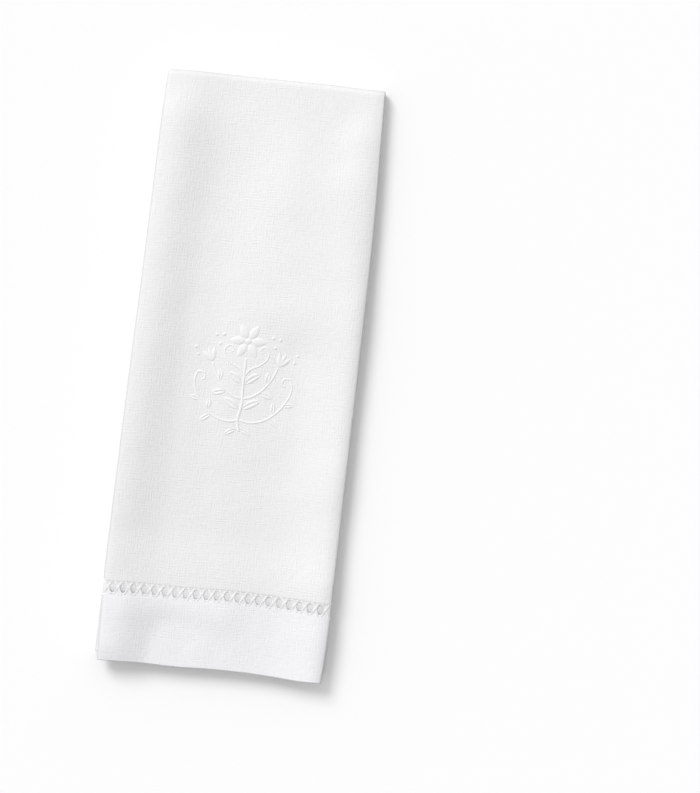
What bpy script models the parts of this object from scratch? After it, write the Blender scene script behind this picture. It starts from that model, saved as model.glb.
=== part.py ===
"""White linen hand towel with hemstitched ends, folded in thirds and then in half, lying face up.

The towel is one rectangle of cloth. It is drawn flat, with the openings of its two hemstitched bands
left out, given its thickness, and then folded: first the two side thirds go behind the middle panel,
then the stack of three layers goes over on itself, so that six layers lie on the surface. X runs
across the panel, Y along it from the open hems to the fold, and Z up from the surface it lies on.
"""

import math
from collections import namedtuple

import bmesh
import bpy
from mathutils import Vector

MM = 0.001

# The open cloth, across: a flap, its bend, the middle panel, a bend and the other flap
PANEL = 137.2 * MM
FLAP = 130.8 * MM
# A flap ends at least this far inside the fold on the other side
FLAP_CLEARANCE = 3.3 * MM
FLAP_SKEW = 1.4 * MM

# The thickness of one layer, and of a layer of the turned-up hem
SHEET = 1.0 * MM
HEM_SHEET = 1.4 * MM
HEM_EDGE = 0.9 * MM
HEM_EDGE_WIDTH = 0.8 * MM
HEM_STEP = 1.2 * MM

# The layers lie this far apart, middle to middle, and further apart at the thick hems
PITCH = 1.5 * MM
HEM_PITCH = 1.85 * MM
SPREAD_START_Y = -96 * MM
SPREAD_END_Y = -130 * MM

# Along the folded towel. The fold over the top is a flattened half circle, square the lower the power
# of its sine and cosine, and uses up a little cloth each way
LAYERS_A_HALF = 3
TOP_BEND = 4.0 * MM
FOLD_SQUARENESS = 0.7
FOLD_Y = 178.2 * MM
HEM_Y = -182.1 * MM
BACK_HEM_Y = -177.7 * MM
HEM_DEPTH = 41.4 * MM

# The hemstitched band: bundles of threads stand a pitch apart, with an oval opening between each two
BUNDLE_PITCH = 6.31 * MM
FIRST_BUNDLE = 1.6 * MM
PANEL_BUNDLES = 22
FLAP_BUNDLES = 20
FLAP_FIRST_BUNDLE = 4.9 * MM
BAND_HEIGHT = 7.6 * MM
OPENING_WIDTH = 3.5 * MM
OPENING_HEIGHT = 6.1 * MM
PANEL_OPENING_SIDES = 8
FLAP_OPENING_SIDES = 6

# How finely the cloth is divided
BEND_STEPS = 5
TOP_BEND_STEPS = 6
FRONT_ROWS = 17
BACK_ROWS = 8
ROW_EASE = 1.3
HEM_ROWS = 4
FLAP_COLUMNS = 7
PANEL_BUNDLE_COLUMNS = (0, 1, 2, 3, 4, 5, 6, 8, 10, 12, 14, 15, 16, 17, 18, 19, 20, 21)

# Where the sides of the folded towel lie: distances down from the fold and X places, in millimetres
Side = namedtuple("Side", "down front_left front_right back_left back_right")
SIDES = (
    Side(down=0, front_left=-66.2, front_right=67.9, back_left=-66.2, back_right=67.9),
    Side(down=27, front_left=-66.9, front_right=68.8, back_left=-66.4, back_right=68.2),
    Side(down=70, front_left=-67.4, front_right=70.2, back_left=-66.8, back_right=69.1),
    Side(down=116, front_left=-67.9, front_right=70.8, back_left=-67.2, back_right=69.7),
    Side(down=210, front_left=-69.3, front_right=70.8, back_left=-68.4, back_right=70.2),
    Side(down=300, front_left=-70.1, front_right=70.7, back_left=-69.6, back_right=70.3),
    Side(down=322, front_left=-69.6, front_right=70.7, back_left=-70.3, back_right=70.5),
    Side(down=342, front_left=-69.0, front_right=70.3, back_left=-70.6, back_right=70.6),
    Side(down=364, front_left=-68.3, front_right=69.2, back_left=-70.6, back_right=70.3),
)

# How far the fold, the band and the hems bow from straight lines, at places across, in millimetres
Bow = namedtuple("Bow", "x fold band hem back_hem")
BOWS = (
    Bow(x=-67, fold=-1.2, band=-0.9, hem=-0.5, back_hem=-0.9),
    Bow(x=-46, fold=-0.3, band=0.0, hem=0.3, back_hem=-0.4),
    Bow(x=-21, fold=-0.3, band=-0.1, hem=0.3, back_hem=0.1),
    Bow(x=5, fold=0.0, band=1.1, hem=1.4, back_hem=0.5),
    Bow(x=33, fold=0.3, band=0.9, hem=1.1, back_hem=0.8),
    Bow(x=55, fold=0.0, band=0.1, hem=0.1, back_hem=1.1),
    Bow(x=67, fold=0.1, band=-0.5, hem=0.2, back_hem=1.4),
)

# The front half is lifted into soft folds. The panel follows them in full and the layers under it
# less, down to this share for the lowest. Close to the right side and to the fold over the top the
# folds drop by a share of their height
LEAST_LIFT = 0.2 * MM
SETTLING = 0.25 * MM
LOWEST_SHARE = 0.2
RIGHT_DROP = 0.25
RIGHT_REACH = 2.5 * MM
FOLD_DROP = 0.4
FOLD_REACH = 6 * MM

# The folds of the front panel, as soft ridges and troughs from one point to another, in millimetres
Crease = namedtuple("Crease", "name x1 y1 x2 y2 width height")
CREASES = (
    Crease("roll along the left side", -58, 151, -66, -168, 18, 3.7),
    Crease("roll sinking at the band", -58, -107, -58, -125, 11, -0.5),
    Crease("mound below the fold", 29, 113, 36, 48, 31, 2.1),
    Crease("right roll, top", 56, 148, 60, 74, 15, 2.1),
    Crease("right roll, middle", 68, 46, 67, -46, 20, 3.3),
    Crease("right roll, bottom", 68, -74, 68, -119, 21, 3.0),
    Crease("low ridge down the middle", 9, 86, -7, -14, 17, 0.5),
    Crease("trough, upper", -15, 141, -24, 69, 13, -0.8),
    Crease("trough, lower", -29, 36, -24, -122, 14, -1.0),
    Crease("trough before the right roll", 36, 28, 27, -57, 9, -1.4),
    Crease("dent behind the fold, left", -24, 176, -6, 179, 16, -1.2),
    Crease("dent behind the fold, right", 34, 175, 46, 136, 13, -0.7),
    Crease("soft ripple, left", -47, 140, -46, 112, 14, 0.5),
    Crease("soft ripple, middle", 16, 142, 15, 110, 12, 0.4),
    Crease("ridge along the hem's top", -51, -144, 3, -147, 11, 1.1),
    Crease("roll in the hem, left", -53, -157, -60, -170, 19, 0.9),
    Crease("trough in the hem, left", -31, -166, -39, -182, 15, -0.4),
    Crease("ridge in the hem, middle", -10, -168, -6, -170, 8, 0.5),
    Crease("trough in the hem, right", 29, -145, 30, -182, 9, -1.0),
    Crease("roll in the hem, right", 66, -157, 66, -190, 18, 2.3),
)

LINEN = (0.83, 0.84, 0.83, 1.0)


def ease(value):
    """Zero up to 0, one from 1 on, and smooth between."""
    value = min(max(value, 0.0), 1.0)
    return value * value * (3 - 2 * value)


def mix(a, b, share):
    return a + (b - a) * share


def table_value(table, place, key, column):
    """A table's column at a place between its rows, on a smooth curve through them."""
    places = [getattr(row, key) for row in table]
    values = [getattr(row, column) for row in table]
    place = min(max(place, places[0]), places[-1])
    last = len(table) - 2
    i = min(last, max(k for k in range(last + 1) if places[k] <= place))
    share = (place - places[i]) / (places[i + 1] - places[i])
    slopes = [
        (values[min(k + 1, last + 1)] - values[max(k - 1, 0)])
        / (places[min(k + 1, last + 1)] - places[max(k - 1, 0)])
        for k in (i, i + 1)
    ]
    step = places[i + 1] - places[i]
    cubic = (
        (2 * share**3 - 3 * share**2 + 1) * values[i]
        + (share**3 - 2 * share**2 + share) * step * slopes[0]
        + (3 * share**2 - 2 * share**3) * values[i + 1]
        + (share**3 - share**2) * step * slopes[1]
    )
    return cubic * MM


def length_of_half(front):
    """From the middle of the top fold to the hem's edge, along the cloth."""
    return TOP_BEND + FOLD_Y - (HEM_Y if front else BACK_HEM_Y)


def band_place(front):
    """From the middle of the top fold to the middle of a hemstitched band, along the cloth."""
    return length_of_half(front) - HEM_DEPTH - BAND_HEIGHT / 2


def full_thickness(from_edge):
    """The cloth's thickness at a distance from a hem's edge: it is thicker over the hem."""
    past_hem = (from_edge - HEM_DEPTH + HEM_STEP) / HEM_STEP
    return mix(HEM_SHEET, SHEET, min(max(past_hem, 0), 1))


def thickness(s):
    """The cloth's thickness, with the hem's edge rounded."""
    from_edge = length_of_half(s > 0) - abs(s)
    if from_edge < HEM_EDGE_WIDTH:
        return mix(HEM_EDGE, HEM_SHEET, from_edge / HEM_EDGE_WIDTH)
    return full_thickness(from_edge)


def pitch_at(y):
    """The layers' distance, which grows towards the thick hems."""
    return mix(PITCH, HEM_PITCH, ease((SPREAD_START_Y - y) / (SPREAD_START_Y - SPREAD_END_Y)))


def crease_height(crease, x, y):
    """How far one crease lifts or lowers a point, fading softly to its sides and ends."""
    start = Vector((crease.x1, crease.y1)) * MM
    along = Vector((crease.x2, crease.y2)) * MM - start
    offset = Vector((x, y)) - start
    share = min(max(offset.dot(along) / along.length_squared, 0.0), 1.0)
    distance = (offset - along * share).length
    return crease.height * MM * math.exp(-((distance / (crease.width * MM)) ** 2))


def lift(x, y, right, from_fold):
    """How far the folds lift the front panel off the layers below it. A deep trough rests on them."""
    folds = LEAST_LIFT + sum(crease_height(crease, x, y) for crease in CREASES)
    rise = 1 - RIGHT_DROP * math.exp(-max(right - x, 0) / RIGHT_REACH)
    rise *= 1 - FOLD_DROP * math.exp(-max(from_fold, 0) / FOLD_REACH)
    return SETTLING * math.log1p(math.exp(folds / SETTLING)) * rise


def fold_sideways(u, depth, left, right, pitch):
    """The section across the stack: X, height over the stack's inner side, and layer number.

    U is 0 at the left end of the panel's flat part. DEPTH is how far a point lies outside the middle
    of the cloth. The left flap is the innermost layer, 0, the right flap is 1 and the panel is 2.
    """
    half = SHEET / 2
    left_radius, right_radius = pitch, pitch / 2
    flat_left = left + half + left_radius
    flat_right = right - half - right_radius
    flap = min(FLAP, right - left - FLAP_CLEARANCE)
    left_bend, right_bend = math.pi * PITCH, math.pi * PITCH / 2
    if u < -left_bend:
        share = (-left_bend - u) / FLAP
        return flat_left + share * flap, pitch / 2 - depth, 0.0
    if u < 0:
        angle = math.pi / 2 - math.pi * u / left_bend
        radius = left_radius + depth
        layer = 1 + math.sin(angle)
        return flat_left + radius * math.cos(angle), 1.5 * pitch + radius * math.sin(angle), layer
    if u <= PANEL:
        return mix(flat_left, flat_right, u / PANEL), 2.5 * pitch + depth, 2.0
    if u < PANEL + right_bend:
        angle = math.pi / 2 - math.pi * (u - PANEL) / right_bend
        radius = right_radius + depth
        layer = 1.5 + math.sin(angle) / 2
        return flat_right + radius * math.cos(angle), 2 * pitch + radius * math.sin(angle), layer
    share = (u - PANEL - right_bend) / FLAP
    return flat_right - share * flap, 1.5 * pitch - depth, 1.0


def bow_of_rows(x, s):
    """How far a row across the cloth bows from its straight line."""
    down = abs(s)
    fold = table_value(BOWS, x / MM, "x", "fold")
    if s < 0:
        return mix(fold, table_value(BOWS, x / MM, "x", "back_hem"), down / length_of_half(False))
    band = table_value(BOWS, x / MM, "x", "band")
    place = band_place(True)
    if down < place:
        return mix(fold, band, down / place)
    hem = table_value(BOWS, x / MM, "x", "hem")
    return mix(band, hem, (down - place) / (length_of_half(True) - place))


def folded_place(u, s, side):
    """Where a point of the flat cloth lies in the folded towel. SIDE is 1 on its face, -1 behind."""
    front = s > 0
    half = "front" if front else "back"
    down = max(abs(s) - TOP_BEND, 0)
    y = FOLD_Y - down
    pitch = pitch_at(y)
    left = table_value(SIDES, down / MM, "down", half + "_left")
    right = table_value(SIDES, down / MM, "down", half + "_right")
    x, height, layer = fold_sideways(u, side * thickness(s) / 2, left, right, pitch)

    # The fold over the top turns the stack about a line halfway up
    turn = math.pi / 2 * min(max(s / TOP_BEND, -1), 1)
    lowest = full_thickness(length_of_half(False) - abs(s)) / 2
    middle = lowest + (LAYERS_A_HALF - 0.5) * pitch
    y += height * abs(math.cos(turn)) ** FOLD_SQUARENESS
    z = middle + height * math.copysign(abs(math.sin(turn)) ** FOLD_SQUARENESS, turn)

    y += bow_of_rows(x, s)
    if u < 0 or u > PANEL:
        y += FLAP_SKEW * min(max(-u, u - PANEL) / FLAP, 1) * ease(down / length_of_half(True))
    if front:
        z += lift(x, y, right, down) * mix(LOWEST_SHARE, 1, layer / 2) * math.sin(turn)
    return Vector((x, y, z))


def bend_columns(start, length):
    return [start + length * i / BEND_STEPS for i in range(BEND_STEPS + 1)]


def flap_side(place, direction):
    """A place on a flap, measured outward from where its bend ends."""
    bend = math.pi * PITCH / 2 if direction > 0 else math.pi * PITCH
    return PANEL + bend + place if direction > 0 else -bend - place


def body_columns():
    """U places of the rows where nothing but cloth is drawn."""
    columns = bend_columns(-math.pi * PITCH, math.pi * PITCH)
    columns += bend_columns(PANEL, math.pi * PITCH / 2)
    columns += [FIRST_BUNDLE + BUNDLE_PITCH * i for i in PANEL_BUNDLE_COLUMNS]
    for direction in (-1, 1):
        columns += [flap_side(FLAP * i / FLAP_COLUMNS, direction) for i in range(1, FLAP_COLUMNS + 1)]
    return sorted(columns)


def band_columns():
    """U places of the band's two edges, and which of them start an opening, with its sides."""
    columns = bend_columns(-math.pi * PITCH, math.pi * PITCH)
    columns += bend_columns(PANEL, math.pi * PITCH / 2)
    openings = {}
    panel = [FIRST_BUNDLE + BUNDLE_PITCH * i for i in range(PANEL_BUNDLES)]
    for place in panel[:-1]:
        openings[place] = PANEL_OPENING_SIDES
    columns += panel
    for direction in (-1, 1):
        flap = [
            flap_side(FLAP_FIRST_BUNDLE + BUNDLE_PITCH * i, direction) for i in range(FLAP_BUNDLES)
        ]
        for place in sorted(flap)[:-1]:
            openings[place] = FLAP_OPENING_SIDES
        columns += flap
        columns.append(flap_side(FLAP, direction))
    return sorted(columns), openings


def row(bm, columns, s):
    return [bm.verts.new((u, s, 0)) for u in columns]


def bridge(bm, first, second):
    """Faces between two rows, whose vertices may stand at different places across."""
    i = j = 0
    while i + 1 < len(first) or j + 1 < len(second):
        next_first = first[i + 1].co.x if i + 1 < len(first) else math.inf
        next_second = second[j + 1].co.x if j + 1 < len(second) else math.inf
        if abs(next_first - next_second) < 0.01 * MM:
            bm.faces.new((first[i], first[i + 1], second[j + 1], second[j]))
            i += 1
            j += 1
        elif next_first < next_second:
            bm.faces.new((first[i], first[i + 1], second[j]))
            i += 1
        else:
            bm.faces.new((first[i], second[j + 1], second[j]))
            j += 1


def opening_cell(bm, corners, sides):
    """A cell of the band with an oval opening. The corners go round it, starting at low U and low S."""
    centre = sum((corner.co for corner in corners), Vector()) / 4
    ring = []
    for i in range(sides):
        angle = -math.pi / 2 + 2 * math.pi * i / sides
        out = Vector((math.cos(angle) * OPENING_WIDTH, math.sin(angle) * OPENING_HEIGHT, 0)) / 2
        ring.append(bm.verts.new(centre + out))
    # Each corner takes the sides of the oval in its own quarter, and a face on each edge closes the rest
    owners = [corners[(1 + 4 * (2 * i + 1) // (2 * sides)) % 4] for i in range(sides)]
    for i, owner in enumerate(owners):
        after = (i + 1) % sides
        bm.faces.new((owner, ring[after], ring[i]))
        if owners[after] is not owner:
            bm.faces.new((owner, owners[after], ring[after]))


def band(bm, s):
    """A hemstitched band about S: its two edges, with the openings between them."""
    columns, openings = band_columns()
    low = row(bm, columns, s - BAND_HEIGHT / 2)
    high = row(bm, columns, s + BAND_HEIGHT / 2)
    for i, u in enumerate(columns[:-1]):
        corners = (low[i], low[i + 1], high[i + 1], high[i])
        if u in openings:
            opening_cell(bm, corners, openings[u])
        else:
            bm.faces.new(corners)
    return low, high


def half_rows(bm, front):
    """Every row of one half, in order from the top fold to the hem's edge, as pairs to be bridged."""
    sign = 1 if front else -1
    columns = body_columns()
    count = FRONT_ROWS if front else BACK_ROWS
    middle = band_place(front)
    stop = middle - BAND_HEIGHT / 2
    end = length_of_half(front)
    shares = [(i / count) ** ROW_EASE for i in range(1, count)]
    rows = [row(bm, columns, sign * mix(TOP_BEND, stop, share)) for share in shares]
    band_edges = band(bm, sign * middle)
    near, far = band_edges if front else reversed(band_edges)
    start = end - HEM_DEPTH + HEM_STEP
    places = [mix(start, end - HEM_EDGE_WIDTH, i / HEM_ROWS) for i in range(HEM_ROWS + 1)]
    hem = [row(bm, columns, sign * place) for place in places + [end]]
    return rows + [near], [far] + hem


def flat_cloth(bm):
    """The open towel, drawn flat in U and S."""
    steps = range(-TOP_BEND_STEPS // 2, TOP_BEND_STEPS // 2 + 1)
    columns = body_columns()
    fold = [row(bm, columns, TOP_BEND * 2 * i / TOP_BEND_STEPS) for i in steps]
    back_body, back_hem = half_rows(bm, front=False)
    front_body, front_hem = half_rows(bm, front=True)
    runs = (
        list(reversed(back_hem)),
        list(reversed(back_body)) + fold + front_body,
        front_hem,
    )
    for run in runs:
        for first, second in zip(run, run[1:]):
            bridge(bm, first, second)


def thicken(bm):
    """Gives the flat sheet a second side. Z then only tells which side a vertex is on."""
    made = bmesh.ops.extrude_face_region(bm, geom=bm.faces[:], use_keep_orig=True)["geom"]
    upper = {item for item in made if isinstance(item, bmesh.types.BMVert)}
    for vertex in bm.verts:
        vertex.co.z = 1 if vertex in upper else -1
    bmesh.ops.recalc_face_normals(bm, faces=bm.faces[:])


def linen():
    material = bpy.data.materials.new("white_linen")
    material.use_nodes = True
    shader = material.node_tree.nodes["Principled BSDF"]
    shader.inputs["Base Color"].default_value = LINEN
    shader.inputs["Roughness"].default_value = 0.9
    shader.inputs["Metallic"].default_value = 0.0
    return material


def towel(collection):
    bm = bmesh.new()
    flat_cloth(bm)
    thicken(bm)
    for vertex in bm.verts:
        vertex.co = folded_place(vertex.co.x, vertex.co.y, vertex.co.z)
    bmesh.ops.triangulate(bm, faces=bm.faces[:])
    bmesh.ops.recalc_face_normals(bm, faces=bm.faces[:])
    mesh = bpy.data.meshes.new("towel")
    bm.to_mesh(mesh)
    bm.free()
    mesh.materials.append(linen())
    mesh.shade_smooth()
    mesh.set_sharp_from_angle(angle=math.radians(50))
    collection.objects.link(bpy.data.objects.new("towel", mesh))


def main():
    for thing in list(bpy.data.objects):
        bpy.data.objects.remove(thing, do_unlink=True)
    collection = bpy.data.collections.new("hand_towel")
    bpy.context.scene.collection.children.link(collection)
    towel(collection)


main()
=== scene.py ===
"""A folded white linen hand towel: its cloth, drawn-thread hemstitching and raised embroidery.

The cloth is drawn flat, in U across it and S along it, and everything sewn on it is drawn in the
same flat places. One function then folds them all: the side thirds behind the middle panel, and the
stack of three layers over on itself. U is 0 at the panel's left edge. S is 0 in the middle of the
top fold, positive to the front hem and negative to the back hem. OUT is a distance from the middle
of the cloth, positive on its face.
"""

import math
from collections import namedtuple

import bmesh
import bpy
import numpy as np
from mathutils import Matrix, Vector


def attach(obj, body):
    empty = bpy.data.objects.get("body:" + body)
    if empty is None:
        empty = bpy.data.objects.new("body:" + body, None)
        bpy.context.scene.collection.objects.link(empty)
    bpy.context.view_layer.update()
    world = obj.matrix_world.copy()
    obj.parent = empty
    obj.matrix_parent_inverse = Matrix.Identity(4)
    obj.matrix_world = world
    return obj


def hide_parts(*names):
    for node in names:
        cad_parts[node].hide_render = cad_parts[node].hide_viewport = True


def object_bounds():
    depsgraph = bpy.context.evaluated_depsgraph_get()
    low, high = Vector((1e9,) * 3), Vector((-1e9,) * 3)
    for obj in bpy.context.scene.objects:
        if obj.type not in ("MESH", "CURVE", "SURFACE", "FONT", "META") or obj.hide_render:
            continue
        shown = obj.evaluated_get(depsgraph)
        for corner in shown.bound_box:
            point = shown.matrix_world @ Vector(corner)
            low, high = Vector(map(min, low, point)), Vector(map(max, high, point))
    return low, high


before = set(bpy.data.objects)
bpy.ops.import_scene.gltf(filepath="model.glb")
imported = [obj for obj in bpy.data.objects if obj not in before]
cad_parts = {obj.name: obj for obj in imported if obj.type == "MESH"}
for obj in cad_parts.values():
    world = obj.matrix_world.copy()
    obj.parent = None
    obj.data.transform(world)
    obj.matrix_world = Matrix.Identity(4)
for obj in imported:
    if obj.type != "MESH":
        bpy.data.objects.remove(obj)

CAD_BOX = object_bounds()
MM = 0.001

# The open cloth. The right flap, the inner one, reaches further than the left
PANEL = 137.2 * MM
FLAP = 126.1 * MM
RIGHT_FLAP = 135.5 * MM
FLAP_CLEARANCE = 3.3 * MM
FLAP_SKEW = 1.4 * MM

# Layers of the folded towel, middle to middle, and how they spread towards the thick hems
CAD_SHEET = 1.0 * MM
PITCH = 1.5 * MM
HEM_PITCH = 1.85 * MM
SPREAD_START_Y = -96 * MM
SPREAD_END_Y = -130 * MM
LEFT_BEND = math.pi * PITCH
RIGHT_BEND = math.pi * PITCH / 2

# Along the folded towel
TOP_BEND = 4.0 * MM
FOLD_SQUARENESS = 0.7
FOLD_Y = 178.2 * MM
FRONT_LENGTH = TOP_BEND + FOLD_Y + 182.1 * MM
BACK_LENGTH = TOP_BEND + FOLD_Y + 177.7 * MM
HEM_DEPTH = 41.4 * MM

# The cloth's own thickness. The hem is doubled, a narrow hem runs down each long side, and the
# drawn bands are thin. Each shoulder is how far the thickness takes to change
SHEET = 0.8 * MM
HEM_SHEET = 1.25 * MM
HEM_SHOULDER = 0.3 * MM
SIDE_HEM_SHEET = 1.1 * MM
SIDE_HEM_WIDTH = 5 * MM
SIDE_HEM_SHOULDER = 0.6 * MM
CUT_EDGE = 0.42 * MM
CUT_EDGE_REACH = 0.7 * MM
DRAWN_SHEET = 0.24 * MM

# Edges are rounded off over this far, down to these shares of the thickness
HEM_ROUND = 0.62 * MM
HEM_EDGE_SHARE = 0.25
SIDE_EDGE_SHARE = 0.3
SHARP_EDGE = math.radians(40)

# The hemstitched band
BUNDLE_PITCH = 6.37 * MM
FIRST_BUNDLE = 1.1 * MM
PANEL_BUNDLES = 22
FLAP_BUNDLES = 20
FLAP_FIRST_BUNDLE = 4.9 * MM
BAND_HEIGHT = 7.6 * MM
OPENING_WIDTH = 4.0 * MM
OPENING_HEIGHT = 5.7 * MM
OPENING_SIDES = 20
BAND_ROWS = (-0.25, 0, 0.25)

# Where the sides of the folded towel lie: places down from the fold and X places, in millimetres
Side = namedtuple("Side", "down front_left front_right back_left back_right")
SIDES = (
    Side(0, -66.2, 67.9, -66.2, 67.9),
    Side(27, -66.9, 68.8, -66.4, 68.2),
    Side(70, -67.4, 70.2, -66.8, 69.1),
    Side(116, -67.9, 70.8, -67.2, 69.7),
    Side(210, -69.3, 70.8, -68.4, 70.2),
    Side(300, -70.1, 70.7, -69.6, 70.3),
    Side(322, -69.6, 70.7, -70.3, 70.5),
    Side(342, -69.0, 70.3, -70.6, 70.6),
    Side(364, -68.3, 69.2, -70.6, 70.3),
)

# How far the fold, the band and the hems bow from straight lines, at places across, in millimetres
Bow = namedtuple("Bow", "x fold band hem back_hem")
BOWS = (
    Bow(-67, -1.2, -0.9, -0.5, -0.9),
    Bow(-46, -0.3, 0.0, 0.3, -0.4),
    Bow(-21, -0.3, -0.1, 0.3, 0.1),
    Bow(5, 0.0, 1.1, 1.4, 0.5),
    Bow(33, 0.3, 0.9, 1.1, 0.8),
    Bow(55, 0.0, 0.1, 0.1, 1.1),
    Bow(67, 0.1, -0.5, 0.2, 1.4),
)

# The front half is lifted into soft folds. The panel follows them in full and the layers under it
# less, down to this share for the lowest. Close to the right side and to the fold over the top the
# folds drop by a share of their height
LEAST_LIFT = 0.2 * MM
SETTLING = 0.25 * MM
LOWEST_SHARE = 0.2
RIGHT_DROP = 0.38
RIGHT_REACH = 3.0 * MM
FOLD_DROP = 0.4
FOLD_REACH = 6 * MM

# The folds of the front panel, as soft ridges and troughs from one point to another, in millimetres
Crease = namedtuple("Crease", "name x1 y1 x2 y2 width height")
CREASES = (
    Crease("roll along the left side", -58, 151, -66, -168, 18, 3.7),
    Crease("roll sinking at the band", -58, -107, -58, -125, 11, -0.5),
    Crease("mound below the fold", 29, 113, 36, 48, 31, 2.1),
    Crease("right roll, top", 56, 148, 60, 74, 15, 2.1),
    Crease("right roll, middle", 68, 46, 67, -46, 20, 3.3),
    Crease("right roll, bottom", 68, -74, 68, -119, 21, 3.0),
    Crease("low ridge down the middle", 9, 86, -7, -14, 17, 0.5),
    Crease("trough, upper", -15, 141, -24, 69, 13, -0.8),
    Crease("trough, lower", -29, 36, -24, -122, 14, -1.0),
    Crease("trough before the right roll", 33, 14, 27, -57, 11, -0.9),
    Crease("dent behind the fold, left", -24, 176, -6, 179, 16, -0.9),
    Crease("dent behind the fold, right", 33, 175, 45, 138, 12, -1.1),
    Crease("soft ripple, left", -47, 140, -46, 112, 14, 0.5),
    Crease("soft ripple, middle", 16, 142, 15, 110, 12, 0.4),
    Crease("ridge along the hem's top", -51, -144, 3, -147, 11, 1.1),
    Crease("roll in the hem, left", -53, -157, -55, -176, 14, 1.7),
    Crease("trough in the hem, left", -26, -163, -31, -184, 13, -1.5),
    Crease("ridge in the hem, middle", -10, -168, -6, -170, 8, 0.5),
    Crease("trough in the hem, right", 29, -145, 30, -182, 9, -1.0),
    Crease("roll in the hem, right", 66, -157, 66, -190, 18, 2.3),
)

# Slow unevenness of the whole stack, as waves that cross at many angles. It grows with the height
RIPPLE_WAVES = 26
RIPPLE_HEIGHT = 0.028 * MM
RIPPLE_LENGTHS = (14 * MM, 70 * MM)
RIPPLE_SEED = 7

# The flap under the panel's hemstitched band lies this close to it, middle to middle, about a place
# a little above the band's middle and as far as this each way. It comes up quickly beside the right
# bend, and swells into the thin band, less over this last share of the band's half height
NESTLED_PITCH = 0.86 * MM
NESTLE_RISE = 1.8 * MM
NESTLE_REACH = 6.5 * MM
NESTLE_ONSET = 22
NESTLE_SKEW = 0.6
SWELL = 0.31 * MM
SWELL_EDGE = 0.25

# How finely the cloth is divided
PANEL_STEP = 2.05 * MM
FLAP_STEP = 5 * MM
FRONT_STEP = 2.05 * MM
BACK_STEP = 8 * MM
HEM_STEP = 2.6 * MM
BEND_STEPS = 10
TOP_BEND_STEPS = 16
SAME_PLACE = 0.01 * MM
NEXT_PLACE = 0.05 * MM

# Rows near a band, as shares of CUT_EDGE_REACH, and near a hem's edge, of HEM_ROUND
NEAR_BAND_ROWS = (2.5, 1.0, 0.4, 0.12)
HEM_EDGE_ROWS = (1.0, 0.55, 0.25, 0.07, 0.0)
LAST_HEM_ROW = 1.6


def ease(value):
    """Zero up to 0, one from 1 on, and smooth between."""
    value = np.clip(value, 0.0, 1.0)
    return value * value * (3 - 2 * value)


def mix(a, b, share):
    return a + (b - a) * share


def smooth_curve(x, y, place):
    """A smooth curve through points, at places between them. It runs straight on past the ends."""
    x, y, place = (np.asarray(value, float) for value in (x, y, place))
    slope = np.concatenate([
        (y[1:2] - y[:1]) / (x[1:2] - x[:1]),
        (y[2:] - y[:-2]) / (x[2:] - x[:-2]),
        (y[-1:] - y[-2:-1]) / (x[-1:] - x[-2:-1]),
    ])
    held = np.clip(place, x[0], x[-1])
    i = np.clip(np.searchsorted(x, held, side="right") - 1, 0, len(x) - 2)
    step = x[i + 1] - x[i]
    t = (held - x[i]) / step
    curve = (
        (2 * t**3 - 3 * t**2 + 1) * y[i]
        + (t**3 - 2 * t**2 + t) * step * slope[i]
        + (3 * t**2 - 2 * t**3) * y[i + 1]
        + (t**3 - t**2) * step * slope[i + 1]
    )
    return curve + (place - held) * np.where(place < x[0], slope[0], slope[-1])


def table_curve(table, key, column, place):
    """A table's column, in millimetres, at places given in metres and kept within the table."""
    x = [getattr(row, key) * MM for row in table]
    y = [getattr(row, column) * MM for row in table]
    return smooth_curve(x, y, np.clip(place, x[0], x[-1]))


def hem_thickness(from_edge):
    return mix(HEM_SHEET, SHEET, np.clip((from_edge - HEM_DEPTH) / HEM_SHOULDER, 0, 1))


def thickness(u, s):
    """The cloth's thickness: doubled at the hems, thin in the bands, rounded at its edges."""
    from_edge = np.where(s > 0, FRONT_LENGTH, BACK_LENGTH) - np.abs(s)
    full = hem_thickness(from_edge)
    from_side = np.minimum(FLAP + LEFT_BEND + u, RIGHT_FLAP + RIGHT_BEND + PANEL - u)
    side_hem = ease((SIDE_HEM_WIDTH - from_side) / SIDE_HEM_SHOULDER)
    full = np.maximum(full, mix(SHEET, SIDE_HEM_SHEET, side_hem))

    def rounded(distance, radius, least):
        share = np.clip(distance / radius, 0, 1)
        return mix(least, 1, np.sqrt(1 - (1 - share) ** 2))

    full = full * rounded(from_edge, HEM_ROUND, HEM_EDGE_SHARE)
    full = full * rounded(from_side, HEM_ROUND, SIDE_EDGE_SHARE)
    into_band = BAND_HEIGHT / 2 - np.abs(from_edge - HEM_DEPTH - BAND_HEIGHT / 2)
    full = full * rounded(np.abs(into_band), CUT_EDGE_REACH, CUT_EDGE / SHEET)
    drawn = (u > -LEFT_BEND) & (u < PANEL + RIGHT_BEND) & (into_band > 0)
    thin = mix(CUT_EDGE, DRAWN_SHEET, ease(into_band / CUT_EDGE_REACH))
    return np.where(drawn, np.minimum(full, thin), full)


def pitch_at(y):
    """How far apart the layers lie, which is more towards the thick hems."""
    return mix(PITCH, HEM_PITCH, ease((SPREAD_START_Y - y) / (SPREAD_START_Y - SPREAD_END_Y)))


def crease_height(crease, x, y):
    """How far one crease lifts or lowers points, fading softly to its sides and ends."""
    x1, y1, x2, y2 = (value * MM for value in (crease.x1, crease.y1, crease.x2, crease.y2))
    along = np.array([x2 - x1, y2 - y1])
    share = np.clip(((x - x1) * along[0] + (y - y1) * along[1]) / (along @ along), 0, 1)
    distance = np.hypot(x - x1 - share * along[0], y - y1 - share * along[1])
    return crease.height * MM * np.exp(-((distance / (crease.width * MM)) ** 2))


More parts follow.
